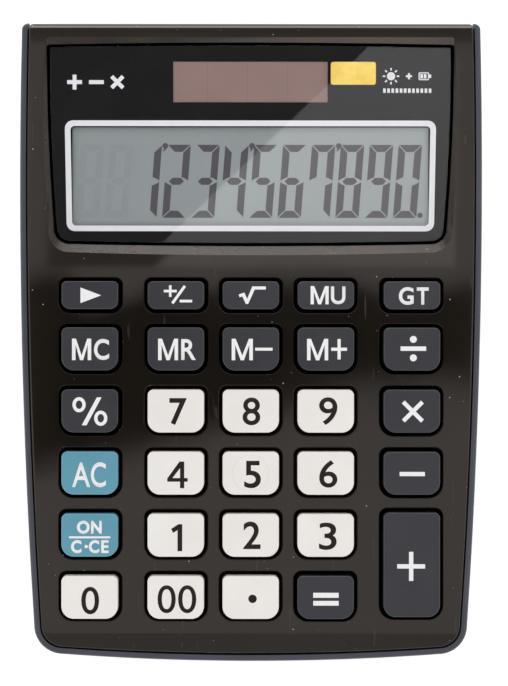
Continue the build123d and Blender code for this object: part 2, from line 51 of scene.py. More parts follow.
# ---------------------------------------------------------------- driving dimensions
MM = 0.001
WEDGE = math.radians(6.0)
FRONT = -73.06
FRONT_DEPTH = 11.0
FOOT_PROUD = 0.8
FACE_HEIGHT = FOOT_PROUD - FRONT * math.sin(WEDGE) + FRONT_DEPTH * math.cos(WEDGE)

COLUMNS = (-36.58, -17.03, 0.0, 17.03, 36.58)
ROW_PITCH = 14.1
ROWS = (10.64, -1.57, *(-15.67 - n * ROW_PITCH for n in range(4)))
TALL_ROW = -50.55
KEY_PROUD = 2.6
HOME_DISC = 0.15

WELL_REAR, WELL_FRONT = 68.2, 22.0
WELL_DEEP_REAR, WELL_DEEP_FRONT = 0.4, 2.2
WINDOW_TILT = math.atan((WELL_DEEP_FRONT - WELL_DEEP_REAR) / (WELL_REAR - WELL_FRONT))
WELL_Y = (WELL_REAR + WELL_FRONT) / 2
WELL_Z = -(WELL_DEEP_FRONT + WELL_DEEP_REAR) / 2
DISPLAY_X = -0.15
WINDOW_BACK = -1.3  # the window's lower face, from its upper one
GLASS_TOP = -2.2  # the display glass's upper face, from the same

FACE = (
    Matrix.Translation((0, 0, FACE_HEIGHT * MM))
    @ Matrix.Rotation(WEDGE, 4, "X")
    @ Matrix.Scale(MM, 4)
)
GLASS = (
    FACE
    @ Matrix.Translation((DISPLAY_X, WELL_Y, WELL_Z))
    @ Matrix.Rotation(WINDOW_TILT, 4, "X")
    @ Matrix.Translation((0, -WELL_Y, 0))
)
TO_FACE = FACE.inverted()
TO_GLASS = GLASS.inverted()

CAMERA_DISTANCE = 500.0  # straight out of the keypad face
CAMERA_AIM = (0.71, -0.2, 0.0)
CAMERA_ROLL = math.radians(0.05)
CAMERA_LENS, CAMERA_SENSOR = 115.0, 36.0
FLOOR_HALF = 3.0  # metres
FLOOR_GLOW = 0.5
INK = 0.015  # how far a print stands above what it is printed on
SUNK = 0.03  # how far its lower side lies in it


# ---------------------------------------------------------------- camera, floor and light
def make_camera():
    data = bpy.data.cameras.new("camera")
    data.lens = CAMERA_LENS
    data.sensor_width = CAMERA_SENSOR
    camera = bpy.data.objects.new("camera", data)
    bpy.context.scene.collection.objects.link(camera)
    place = FACE @ Matrix.Translation(Vector(CAMERA_AIM) + Vector((0, 0, CAMERA_DISTANCE)))
    rotation = FACE.to_quaternion().to_matrix().to_4x4() @ Matrix.Rotation(CAMERA_ROLL, 4, "Z")
    camera.matrix_world = Matrix.Translation(place.to_translation()) @ rotation
    data.clip_start = 0.01
    data.clip_end = 20.0
    bpy.context.scene.camera = camera


def card(name, corners):
    """A flat card in the face frame, seen only in reflections, as in a studio."""
    mesh = bpy.data.meshes.new(name)
    mesh.from_pydata(corners, [], [range(len(corners))])
    obj = bpy.data.objects.new(name, mesh)
    obj.matrix_world = FACE
    bpy.context.scene.collection.objects.link(obj)
    glow = Glow(name)
    mesh.materials.append(glow.mat)
    obj.visible_camera = False
    obj.visible_diffuse = False
    obj.visible_shadow = False
    obj.visible_transmission = False
    return glow


def make_stage():
    scene = bpy.context.scene
    scene.view_settings.view_transform = "Standard"
    world = bpy.data.worlds.new("studio")
    world.use_nodes = True
    back = world.node_tree.nodes["Background"]
    back.inputs["Color"].default_value = (1.0, 1.0, 1.0, 1)
    back.inputs["Strength"].default_value = 1.0
    scene.world = world
    mesh = bpy.data.meshes.new("floor")
    half = FLOOR_HALF
    mesh.from_pydata([(-half, -half, 0), (half, -half, 0), (half, half, 0), (-half, half, 0)], [],
                     [(0, 1, 2, 3)])
    floor = bpy.data.objects.new("floor", mesh)
    scene.collection.objects.link(floor)
    paint = Paint("floor", (0.86, 0.86, 0.86), 0.6)
    paint.bsdf.inputs["Emission Color"].default_value = (1, 1, 1, 1)
    paint.bsdf.inputs["Emission Strength"].default_value = FLOOR_GLOW
    # Seen from below it is clear, so that the underside can be looked at.
    below = paint.node("ShaderNodeNewGeometry").outputs["Backfacing"]
    mix = paint.node("ShaderNodeMixShader")
    paint.link(below, mix.inputs[0])
    paint.link(paint.bsdf.outputs[0], mix.inputs[1])
    paint.link(paint.node("ShaderNodeBsdfTransparent").outputs[0], mix.inputs[2])
    paint.link(mix.outputs[0], paint.tree.nodes["Material Output"].inputs["Surface"])
    mesh.materials.append(paint.mat)


# ---------------------------------------------------------------- materials
class Graph:
    """A material's node tree, with short names for what the materials below are made of."""

    def __init__(self, name):
        self.mat = bpy.data.materials.new(name)
        self.mat.use_nodes = True
        self.tree = self.mat.node_tree
        self.coords = self.node("ShaderNodeTexCoord").outputs["Object"]

    def node(self, kind, **settings):
        made = self.tree.nodes.new(kind)
        for key, value in settings.items():
            setattr(made, key, value)
        return made

    def link(self, source, target):
        self.tree.links.new(source, target)

    def noise(self, scale, detail=3.0, rough=0.5, stretch=None, turn=0.0):
        coords = self.coords
        if stretch or turn:
            mapping = self.node("ShaderNodeMapping")
            mapping.inputs["Scale"].default_value = stretch or (1, 1, 1)
            mapping.inputs["Rotation"].default_value = (0, 0, turn)
            self.link(coords, mapping.inputs["Vector"])
            coords = mapping.outputs[0]
        made = self.node("ShaderNodeTexNoise")
        made.inputs["Scale"].default_value = scale
        made.inputs["Detail"].default_value = detail
        made.inputs["Roughness"].default_value = rough
        self.link(coords, made.inputs["Vector"])
        return made.outputs["Fac"]

    def span(self, value, from_min, from_max, to_min, to_max):
        made = self.node("ShaderNodeMapRange")
        for socket, number in (
            ("From Min", from_min), ("From Max", from_max), ("To Min", to_min), ("To Max", to_max)
        ):
            made.inputs[socket].default_value = number
        self.link(value, made.inputs["Value"])
        return made.outputs["Result"]

    def maths(self, kind, a, b):
        made = self.node("ShaderNodeMath", operation=kind)
        for socket, value in zip(made.inputs, (a, b)):
            if isinstance(value, (int, float)):
                socket.default_value = value
            else:
                self.link(value, socket)
        return made.outputs[0]

    def mix(self, factor, a, b):
        made = self.node("ShaderNodeMix", data_type="RGBA")
        for socket, value in ((made.inputs[0], factor), (made.inputs[6], a), (made.inputs[7], b)):
            if isinstance(value, (int, float)):
                socket.default_value = value
            elif isinstance(value, tuple):
                socket.default_value = (*value, 1)
            else:
                self.link(value, socket)
        return made.outputs[2]

    def specks(self, scale, size, share):
        """Sparse round specks: 1 inside, 0 outside. share is how many cells hold one."""
        cells = self.node("ShaderNodeTexVoronoi")
        cells.inputs["Scale"].default_value = scale
        self.link(self.coords, cells.inputs["Vector"])
        near = self.maths("LESS_THAN", cells.outputs["Distance"], size)
        split = self.node("ShaderNodeSeparateColor")
        self.link(cells.outputs["Color"], split.inputs[0])
        chosen = self.maths("LESS_THAN", split.outputs[0], share)
        return self.maths("MULTIPLY", near, chosen)

    def xyz(self):
        made = self.node("ShaderNodeSeparateXYZ")
        self.link(self.coords, made.inputs[0])
        return made.outputs

    def height(self):
        """Height above the keypad face, in metres."""
        _, y, z = self.xyz()
        up = self.maths("MULTIPLY", self.maths("SUBTRACT", z, FACE_HEIGHT * MM), math.cos(WEDGE))
        return self.maths("SUBTRACT", up, self.maths("MULTIPLY", y, math.sin(WEDGE)))


class Glow(Graph):
    """Emission for a card; strength is the linear brightness that a mirror would show."""

    def __init__(self, name):
        super().__init__(name)
        self.tree.nodes.clear()
        self.coords = self.node("ShaderNodeTexCoord").outputs["Object"]
        self.glow = self.node("ShaderNodeEmission")
        out = self.node("ShaderNodeOutputMaterial")
        self.link(self.glow.outputs[0], out.inputs["Surface"])

    def strength_from(self, socket):
        self.link(socket, self.glow.inputs["Strength"])

    def set_strength(self, value):
        self.glow.inputs["Strength"].default_value = value


class Paint(Graph):
    """A principled material with procedural detail."""

    def __init__(self, name, colour, roughness, **constants):
        super().__init__(name)
        self.bsdf = self.tree.nodes["Principled BSDF"]
        self.bsdf.inputs["Base Color"].default_value = (*colour, 1)
        self.bsdf.inputs["Roughness"].default_value = roughness
        for socket, value in constants.items():
            self.bsdf.inputs[socket.replace("_", " ")].default_value = value
        self.colour = colour
        self.heights = []

    def colour_from(self, socket):
        self.link(socket, self.bsdf.inputs["Base Color"])

    def vary(self, amount, scale):
        """Mottles the base colour slightly."""
        low = tuple(c * (1 - amount) for c in self.colour)
        high = tuple(c * (1 + amount) for c in self.colour)
        mixed = self.mix(self.span(self.noise(scale), 0.3, 0.7, 0, 1), low, high)
        self.colour_from(mixed)
        return mixed

    def roughness_from(self, socket):
        self.link(socket, self.bsdf.inputs["Roughness"])

    def bump(self, height, distance, strength=1.0):
        made = self.node("ShaderNodeBump")
        made.inputs["Distance"].default_value = distance
        made.inputs["Strength"].default_value = strength
        self.link(height, made.inputs["Height"])
        if self.heights:
            self.link(self.heights[-1], made.inputs["Normal"])
        self.heights.append(made.outputs[0])
        self.link(made.outputs[0], self.bsdf.inputs["Normal"])


def scratches(paint, scale, turn, low, high):
    """Thin, long, faint lines in one direction: 1 on a line, 0 elsewhere."""
    lines = paint.noise(scale, 1.0, 0.4, stretch=(1, 0.012, 1), turn=turn)
    return paint.span(lines, low, high, 0, 1)


COVER_TINT = (1.0, 0.90, 0.84, 1)


def cover_paint():
    paint = Paint("cover_gloss", (0.0090, 0.0064, 0.0042), 0.1)
    paint.bsdf.inputs["Specular Tint"].default_value = COVER_TINT
    dust = paint.specks(scale=420, size=0.06, share=0.12)
    fine_dust = paint.specks(scale=1300, size=0.09, share=0.03)
    both = paint.maths("MAXIMUM", dust, fine_dust)
    hair = paint.maths("MAXIMUM", scratches(paint, scale=900, turn=0.5, low=0.74, high=0.78),
                       scratches(paint, scale=700, turn=-1.1, low=0.75, high=0.79))
    scratch_colour, dust_colour = (0.035, 0.031, 0.027), (0.42, 0.40, 0.36)
    faint_hair = paint.maths("MULTIPLY", hair, 0.5)
    body = paint.mix(faint_hair, paint.vary(amount=0.15, scale=30), scratch_colour)
    paint.colour_from(paint.mix(both, body, dust_colour))
    smear = paint.span(paint.noise(28, 5), 0.35, 0.7, 0.06, 0.15)
    paint.roughness_from(paint.maths("ADD", smear, paint.maths("MULTIPLY", hair, 0.12)))
    paint.bump(paint.noise(260, 2), distance=0.00001, strength=0.25)
    return paint.mat


def slope_highlight_paint():
    """The recess's sloped sides: the cover's plastic with a rougher finish, and painted lighter as
    a painted highlight.
    """
    paint = Paint("cover_slope_highlight", (0.0260, 0.0215, 0.0175), 0.26)
    paint.bsdf.inputs["Specular Tint"].default_value = COVER_TINT
    paint.vary(amount=0.2, scale=120)
    paint.roughness_from(paint.span(paint.noise(60, 4), 0.3, 0.7, 0.18, 0.34))
    paint.bump(paint.noise(900, 3, stretch=(0.2, 1, 1)), distance=0.00001, strength=0.3)
    return paint.mat


def gap_shade_paint(name, colour):
    """Painted shade for faces down in a gap, which hardly any light reaches."""
    paint = Paint(name, colour, 0.9, Specular_IOR_Level=0.0)
    paint.vary(amount=0.2, scale=300)
    return paint.mat


def case_paint():
    paint = Paint("case_satin", (0.048, 0.051, 0.067), 0.34)
    paint.vary(amount=0.1, scale=60)
    paint.roughness_from(paint.span(paint.noise(90, 4), 0.3, 0.7, 0.28, 0.42))
    paint.bump(paint.noise(2600, 2), distance=0.00001, strength=0.35)
    return paint.mat


def key_paint(name, colour, rim_highlight, roughness):
    """Fine matt plastic, with a painted highlight along its upper edge and painted shade down in
    its hole.
    """
    paint = Paint(name, colour, roughness)
    wear = paint.span(paint.noise(130, 5), 0.35, 0.75, 0.0, 1.0)
    soft = tuple(min(1.0, c * 1.06 + 0.002) for c in colour)
    height = paint.height()
    # Where the painted highlight along the upper edge starts, is full, begins to end and has ended,
    # down from the key's top.
    start, full, fade, end = ((KEY_PROUD - down) * MM for down in (0.45, 0.25, 0.03, 0.005))
    edge = paint.maths(
        "MINIMUM", paint.span(height, start, full, 0, 0.7), paint.span(height, fade, end, 0.7, 0)
    )
    body = paint.mix(edge, paint.mix(wear, colour, soft), rim_highlight)
    # Painted shade: darker down in the key's hole, below the keypad face.
    dark_below, clear_above = -0.6 * MM, 0.3 * MM
    deep = paint.span(height, dark_below, clear_above, 1, 0)
    shadow_colour = (0.004, 0.003, 0.002)
    paint.colour_from(paint.mix(deep, body, shadow_colour))
    smooth, rough = roughness - 0.05, roughness + 0.06
    paint.roughness_from(paint.span(paint.noise(300, 4), 0.3, 0.7, smooth, rough))
    paint.bump(paint.noise(3600, 2), distance=0.000012, strength=0.3)
    return paint.mat


def ink_paint(name, colour, specular):
    paint = Paint(name, colour, 0.5, Specular_IOR_Level=specular)
    paint.vary(amount=0.03, scale=900)
    paint.bump(paint.noise(2500, 2), distance=0.000004, strength=0.3)
    return paint.mat


def flat_paint(name, colour, roughness, mottle=0.08, scale=200, bump=0.000008, **constants):
    paint = Paint(name, colour, roughness, **constants)
    paint.vary(mottle, scale)
    paint.bump(paint.noise(scale * 6, 3), distance=bump, strength=0.4)
    return paint.mat


def bare_graph(name):
    """An empty node tree, and the socket of its surface."""
    graph = Graph(name)
    graph.tree.nodes.clear()
    return graph, graph.node("ShaderNodeOutputMaterial").inputs["Surface"]


def clear_paint(name, tint, roughness, facing_share):
    """Clear sheet: light passes straight through, and it mirrors more towards grazing angles."""
    graph, surface = bare_graph(name)
    mix = graph.node("ShaderNodeMixShader")
    through = graph.node("ShaderNodeBsdfTransparent")
    shine = graph.node("ShaderNodeBsdfGlossy")
    weight = graph.node("ShaderNodeLayerWeight")
    weight.inputs["Blend"].default_value = 0.5
    through.inputs["Color"].default_value = (*tint, 1)
    shine.inputs["Roughness"].default_value = roughness
    share = graph.span(graph.maths("POWER", weight.outputs["Facing"], 5.0), 0, 1, facing_share, 1)
    graph.link(share, mix.inputs[0])
    graph.link(through.outputs[0], mix.inputs[1])
    graph.link(shine.outputs[0], mix.inputs[2])
    graph.link(mix.outputs[0], surface)
    return graph.mat


def bonded_paint(name):
    """The window's lower face, bonded to the print, so it doesn't mirror."""
    graph, surface = bare_graph(name)
    graph.link(graph.node("ShaderNodeBsdfTransparent").outputs[0], surface)
    return graph.mat


def solar_paint():
    """Thin-film cell: brown film with hairline divisions."""
    paint = Paint("solar_film", (0.305, 0.203, 0.185), 0.3, Specular_IOR_Level=0.1)
    pitch = 9.2 * MM
    one_line = -0.9 * MM  # X of one of the divisions
    phase = paint.maths("ADD", paint.xyz()[0], 20 * pitch - one_line)
    cell = paint.maths("MODULO", phase, pitch)
    line_width, line_colour = 0.12 * MM, (0.25, 0.16, 0.145)
    line = paint.maths("LESS_THAN", cell, line_width)
    body = paint.vary(amount=0.04, scale=120)
    paint.colour_from(paint.mix(line, body, line_colour))
    return paint.mat


def lcd_paint():
    """The display glass under its polarising film: grey green, with a faint upright grain."""
    paint = Paint("lcd_film", (0.305, 0.335, 0.342), 0.06, Specular_IOR_Level=0.62)
    grain = paint.noise(420, 2, stretch=(1, 0.03, 1))
    cloud = paint.noise(45, 2)
    tone = paint.maths(
        "ADD", paint.maths("MULTIPLY", grain, 0.5), paint.maths("MULTIPLY", cloud, 0.5)
    )
    darker, lighter = (0.296, 0.326, 0.334), (0.315, 0.346, 0.350)
    paint.colour_from(paint.mix(paint.span(tone, 0.3, 0.7, 0, 1), darker, lighter))
    paint.bump(paint.noise(1500, 2), distance=0.000004, strength=0.2)
    return paint.mat


def foil_paint():
    """Gold foil, ribbed and crumpled."""
    paint = Paint("gold_foil", (0.90, 0.66, 0.15), 0.35, Metallic=0.2)
    wave = paint.node("ShaderNodeTexWave")
    wave.inputs["Scale"].default_value = 900
    wave.inputs["Distortion"].default_value = 1.5
    paint.link(paint.coords, wave.inputs["Vector"])
    cloud = paint.maths("MULTIPLY", paint.noise(260, 4), 1.5)
    ribs = paint.maths("MULTIPLY", wave.outputs["Fac"], 0.25)
    tone = paint.span(paint.maths("ADD", cloud, ribs), 0.6, 1.15, 0, 1)
    bright, deep = (0.93, 0.70, 0.19), (0.80, 0.54, 0.08)
    paint.colour_from(paint.mix(tone, bright, deep))
    paint.bump(paint.noise(700, 3), distance=0.00002, strength=0.5)
    return paint.mat


def paint_nodes():
    cover = cover_paint()
    case = case_paint()
    # Each key's second colour is a painted highlight along its upper edge.
    dark = key_paint("key_dark", (0.019, 0.018, 0.026), rim_highlight=(0.085, 0.085, 0.095), roughness=0.42)
    white = key_paint("key_white", (0.790, 0.760, 0.725), rim_highlight=(0.83, 0.80, 0.77), roughness=0.38)
    blue = key_paint("key_blue", (0.086, 0.290, 0.390), rim_highlight=(0.19, 0.46, 0.56), roughness=0.40)
    finishes = {
        "top_cover": cover,
        "bottom_case": case,
        "battery_door": case,
        "display_mask": flat_paint("mask_black", (0.0045, 0.0045, 0.0048), 0.5,
                                   Specular_IOR_Level=0.0),
        "lcd_front_glass": lcd_paint(),
        "lcd_rear_glass": flat_paint("lcd_rear", (0.22, 0.25, 0.25), 0.2),
        "lcd_reflector": flat_paint("lcd_back", (0.50, 0.52, 0.50), 0.4, Metallic=0.5),
        "lcd_clamp": flat_paint("inner_black", (0.03, 0.03, 0.03), 0.5),
        "lcd_ribbon": flat_paint("ribbon_film", (0.35, 0.30, 0.18), 0.4),
        "solar_cell": solar_paint(),
        "solar_pad": flat_paint("foam", (0.04, 0.04, 0.04), 0.9, mottle=0.2, scale=400,
                                bump=0.0001),
        "foil_sticker": foil_paint(),
        "main_board": flat_paint("board_green", (0.06, 0.17, 0.05), 0.4),
        "contact_pads": flat_paint("carbon", (0.03, 0.03, 0.03), 0.6),
        "chip_blob": flat_paint("resin", (0.015, 0.015, 0.015), 0.25),
        "board_capacitor": flat_paint("sleeve", (0.04, 0.04, 0.07), 0.35),
        "board_resistors": flat_paint("chip", (0.02, 0.02, 0.02), 0.5),
        "dome_sheet": flat_paint("silicone", (0.45, 0.45, 0.42), 0.6),
        "board_screws": flat_paint("screw_zinc", (0.45, 0.45, 0.46), 0.35, Metallic=1.0),
        "case_screws": flat_paint("screw_steel", (0.40, 0.40, 0.41), 0.4, Metallic=1.0),
        "rubber_feet": flat_paint("foot_rubber", (0.028, 0.028, 0.028), 0.8, mottle=0.15, scale=500,
                                  bump=0.00003),
        "rating_label": flat_paint("label_film", (0.45, 0.46, 0.48), 0.35, mottle=0.03, scale=300,
                                   Metallic=0.5),
        "battery_cell": flat_paint("cell_jacket", (0.06, 0.08, 0.10), 0.35),
        "battery_plate": flat_paint("nickel", (0.6, 0.58, 0.55), 0.3, Metallic=1.0),
        "battery_spring": flat_paint("nickel_wire", (0.6, 0.58, 0.55), 0.3, Metallic=1.0),
        "battery_lead_red": flat_paint("red_wire", (0.4, 0.02, 0.02), 0.4),
        "solar_lead_red": flat_paint("red_wire_thin", (0.4, 0.02, 0.02), 0.4),
        "battery_lead_black": flat_paint("black_wire", (0.02, 0.02, 0.02), 0.4),
        "solar_lead_black": flat_paint("black_wire_thin", (0.02, 0.02, 0.02), 0.4),
    }
    colours = {"dark_key": dark, "white_key": white, "blue_key": blue}
    for row in frame["record"]["subparts"]:
        if row["material_slot"] in colours:
            finishes[row["node"]] = colours[row["material_slot"]]
    for name, mat in finishes.items():
        dress(NODES[name], mat)
    # Painted shade: the keys' flanges and the groove round the window are painted near black, and
    # dark brown under the white keys.
    black = gap_shade_paint("gap", (0.0020, 0.0016, 0.0012))
    brown = gap_shade_paint("gap_brown_shade", (0.0130, 0.0085, 0.0055))
    for row in frame["record"]["subparts"]:
        if row["material_slot"] in colours:
            gap = brown if row["material_slot"] == "white_key" else black
            dress(NODES[row["node"]], finishes[row["node"]], gap, rule=on_flange)
    # The recess's sides take the painted highlight, and the groove round the window the painted
    # shade.
    dress(NODES["top_cover"], cover, slope_highlight_paint(), black, rule=in_recess)
    # The window's upper face and edges shine; its lower face is bonded to the print.
    clear = clear_paint("window_clear", (0.985, 0.985, 0.985), roughness=0.02, facing_share=0.042)
    dress(NODES["display_window"], clear, bonded_paint("window_bonded"), rule=on_window_back)


def dress(obj, *mats, rule=None):
    """Gives a node its materials; rule says which of them a face takes."""
    obj.data.materials.clear()
    for mat in mats:
        obj.data.materials.append(mat)
    if rule:
        for polygon in obj.data.polygons:
            polygon.material_index = rule(polygon)


FLANGE_BELOW = -1.5  # from the keypad face
RECESS_HALF, RECESS_FRONT, RECESS_REAR = 47.8, 19.0, 70.2  # just outside its mouth
GROOVE_BELOW = -0.6  # from the window's upper face
SLOPE_BELOW = -0.02  # from the keypad face


def on_flange(polygon):
    """1 on a key's flange, under the plate, and 0 on its cap."""
    return int((TO_FACE @ polygon.center).z < FLANGE_BELOW)


def in_recess(polygon):
    """1 on the recess's sloped sides, 2 in the groove round the window, and 0 elsewhere."""
    spot = TO_GLASS @ polygon.center
    if abs(spot.x) > RECESS_HALF or not RECESS_FRONT < spot.y < RECESS_REAR:
        return 0
    if spot.z < GROOVE_BELOW:
        return 2
    return int((TO_FACE @ polygon.center).z < SLOPE_BELOW)


def on_window_back(polygon):
    """1 on the window's lower face, and 0 elsewhere."""
    return int(polygon.normal.dot(GLASS.to_3x3().normalized() @ Vector((0, 0, -1))) > 0.9)


# ---------------------------------------------------------------- print
def new_piece(name, mesh, body, mat):
    """A piece of the visual model that moves with a body."""
    obj = bpy.data.objects.new(name, mesh)
    bpy.context.scene.collection.objects.link(obj)
    mesh.materials.clear()
    mesh.materials.append(mat)
    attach(obj, body)
    return obj


def from_outlines(outlines, low, high):
    """Flat prisms from closed outlines, each a list of (x, y)."""
    made = bmesh.new()
    for outline in outlines:
        base = [made.verts.new((x, y, high)) for x, y in outline]
        face = made.faces.new(base)
        if face.normal.z < 0:
            face.normal_flip()
        face.normal_update()
        sides = bmesh.ops.extrude_face_region(made, geom=[face])
        moved = [v for v in sides["geom"] if isinstance(v, bmesh.types.BMVert)]
        bmesh.ops.translate(made, verts=moved, vec=(0, 0, low - high))
    bmesh.ops.recalc_face_normals(made, faces=made.faces)
    return made


def bar(x0, y0, x1, y1, width):
    """A straight stroke with square ends."""
    along = Vector((x1 - x0, y1 - y0)).normalized()
    side = Vector((-along.y, along.x)) * width / 2
    start, end = Vector((x0, y0)), Vector((x1, y1))
    return [tuple(corner) for corner in (start + side, end + side, end - side, start - side)]


def disc(x, y, radius, count=32):
    turns = (2 * math.pi * n / count for n in range(count))
    return [(x + radius * math.cos(t), y + radius * math.sin(t)) for t in turns]


def rounded(left, right, front, rear, radius, count=8):
    """A rectangle outline with round corners, counter-clockwise."""
    points = []
    for cx, cy, start in (
        (right - radius, rear - radius, 0), (left + radius, rear - radius, 90),
        (left + radius, front + radius, 180), (right - radius, front + radius, 270),
    ):
        for n in range(count + 1):
            turn = math.radians(start + 90 * n / count)
            points.append((cx + radius * math.cos(turn), cy + radius * math.sin(turn)))
    return points


def ring(outer, inner, low, high):
    """A flat frame between two outlines with the same number of points."""
    made = bmesh.new()
    loops = [
        [made.verts.new((x, y, z)) for x, y in outline]
        for outline, z in ((outer, high), (inner, high), (inner, low), (outer, low))
    ]
    count = len(outer)
    for n in range(4):
        a, b = loops[n], loops[(n + 1) % 4]
        for i in range(count):
            j = (i + 1) % count
            made.faces.new((a[i], a[j], b[j], b[i]))
    bmesh.ops.recalc_face_normals(made, faces=made.faces)
    return made


def text_outline(text, width, height, bold):
    """The letters' faces, scaled to a width and height about (0, 0)."""
    curve = bpy.data.curves.new("letters", "FONT")
    curve.body = text
    curve.resolution_u = 6
    curve.offset = bold
    obj = bpy.data.objects.new("letters", curve)
    bpy.context.scene.collection.objects.link(obj)
    bpy.context.view_layer.update()
    mesh = bpy.data.meshes.new_from_object(obj.evaluated_get(bpy.context.evaluated_depsgraph_get()))
    bpy.data.objects.remove(obj)
    bpy.data.curves.remove(curve)
    xs = [v.co.x for v in mesh.vertices]
    ys = [v.co.y for v in mesh.vertices]
    scale = Matrix.Diagonal((width / (max(xs) - min(xs)), height / (max(ys) - min(ys)), 1, 1))
    middle = Matrix.Translation((-(max(xs) + min(xs)) / 2, -(max(ys) + min(ys)) / 2, 0))
    mesh.transform(scale @ middle)
    made = bmesh.new()
    made.from_mesh(mesh)
    bpy.data.meshes.remove(mesh)
    bmesh.ops.remove_doubles(made, verts=made.verts, dist=1e-5)
    return made


def thicken(made, low, high):
    """Turns flat faces at Z = 0 into a plate between two heights."""
    for face in made.faces:
        face.normal_update()
        if face.normal.z < 0:
            face.normal_flip()
    bmesh.ops.translate(made, verts=made.verts, vec=(0, 0, high))
    sides = bmesh.ops.extrude_face_region(made, geom=list(made.faces))
    moved = [v for v in sides["geom"] if isinstance(v, bmesh.types.BMVert)]
    bmesh.ops.translate(made, verts=moved, vec=(0, 0, low - high))
    bmesh.ops.recalc_face_normals(made, faces=made.faces)
    return made


def letters(text, x, y, width, height, bold, low, high):
    made = thicken(text_outline(text, width, height, bold), low, high)
    bmesh.ops.translate(made, verts=made.verts, vec=(x, y, 0))
    return made


def to_mesh(name, parts, matrix):
    """Joins bmesh parts into one mesh in the row frame."""
    joined = bmesh.new()
    for part in parts:
        piece = bpy.data.meshes.new("part")
        part.to_mesh(piece)
        part.free()
        joined.from_mesh(piece)
        bpy.data.meshes.remove(piece)
    mesh = bpy.data.meshes.new(name)
    joined.to_mesh(mesh)
    joined.free()
    mesh.transform(matrix)
    return mesh


# Legends made of letters: text, x, y from the key's centre, width, height, and how much the
# outlines grow. M, 1 and 4 are outlines of their own, among the stroke legends.
TEXT_LEGENDS = {
    "key_7": [("7", 0.52, -0.10, 3.95, 6.10, 0.018)],
    "key_8": [("8", 0.14, -0.05, 4.00, 6.30, 0.011)],
    "key_9": [("9", 0.55, 0.02, 4.15, 6.30, 0.010)],
    "key_5": [("5", 0.40, -0.27, 3.79, 6.20, 0.015)],
    "key_6": [("6", 0.57, -0.12, 4.12, 6.25, 0.010)],
    "key_2": [("2", 0.27, 0.02, 3.93, 6.25, 0.015)],
    "key_3": [("3", 0.48, -0.18, 3.99, 6.20, 0.010)],
    "key_0": [("0", 0.16, -0.72, 4.05, 6.25, 0.008)],
    "key_00": [("0", -2.04, -0.40, 4.12, 6.35, 0.004), ("0", 2.63, -0.40, 4.12, 6.35, 0.004)],
    "key_memory_clear": [("C", 2.68, -0.12, 3.45, 4.80, 0.024)],
    "key_memory_recall": [("R", 2.88, -0.12, 3.36, 4.74, 0.018)],
    "key_all_clear": [("A", -1.92, -0.36, 4.15, 5.60, 0.012),
                      ("C", 2.00, -0.36, 3.45, 5.70, 0.016)],
    "key_on_clear": [("O", -1.42, 1.82, 2.92, 3.00, 0.044), ("N", 1.55, 1.82, 2.46, 2.95, 0.040),
                     ("C", -3.02, -2.58, 2.40, 3.00, 0.044), ("C", 1.02, -2.58, 2.40, 3.00, 0.044),
                     ("E", 3.50, -2.58, 1.75, 2.95, 0.032)],
    "key_mark_up": [("U", 2.78, 0.0, 3.30, 4.05, 0.022)],
    "key_grand_total": [("G", -1.32, -0.14, 3.40, 4.05, 0.028),
                        ("T", 2.42, -0.14, 2.72, 3.95, 0.030)],
}
LEGEND_LIFT = 0.2  # stroke legends sit this much further to the rear than drawn


def cross(x, y, width, height, stroke, turn=0.0):
    """A plus sign, or a multiplication sign when turned by 45 degrees."""
    w, h, t = width / 2, height / 2, stroke / 2
    points = [(w, t), (t, t), (t, h), (-t, h), (-t, t), (-w, t), (-w, -t), (-t, -t), (-t, -h),
              (t, -h), (t, -t), (w, -t)]
    c, s = math.cos(turn), math.sin(turn)
    return [(x + u * c - v * s, y + u * s + v * c) for u, v in points]


def letter_m(x, y, width, height, stroke):
    """A letter M whose middle strokes meet on the base line."""
    w, h, t = width / 2, height / 2, stroke
    tip, top = 0.46 * t, 1.12 * t  # half the middle's foot, and the width of a shoulder
    valley = -h + 1.35 * t  # bottom of the notch between the shoulders
    crook = h - 1.75 * t  # where a leg meets a middle stroke from below
    half = [(w, -h), (w - t, -h), (w - t, crook), (tip, -h)]
    points = [(-w, -h), (-w, h), (-w + top, h), (0, valley), (w - top, h), (w, h), *half,
              *((-u, v) for u, v in reversed(half[1:]))]
    return [(x + u, y + v) for u, v in points]


def oval_ring(x, y, rx, ry, stroke, low, high, count=40):
    """An upright oval outline of an even width."""
    turns = [2 * math.pi * n / count for n in range(count)]
    outer = [(x + rx * math.cos(t), y + ry * math.sin(t)) for t in turns]
    inner = [(x + (rx - stroke) * math.cos(t), y + (ry - stroke) * math.sin(t)) for t in turns]
    return ring(outer, inner, low, high)


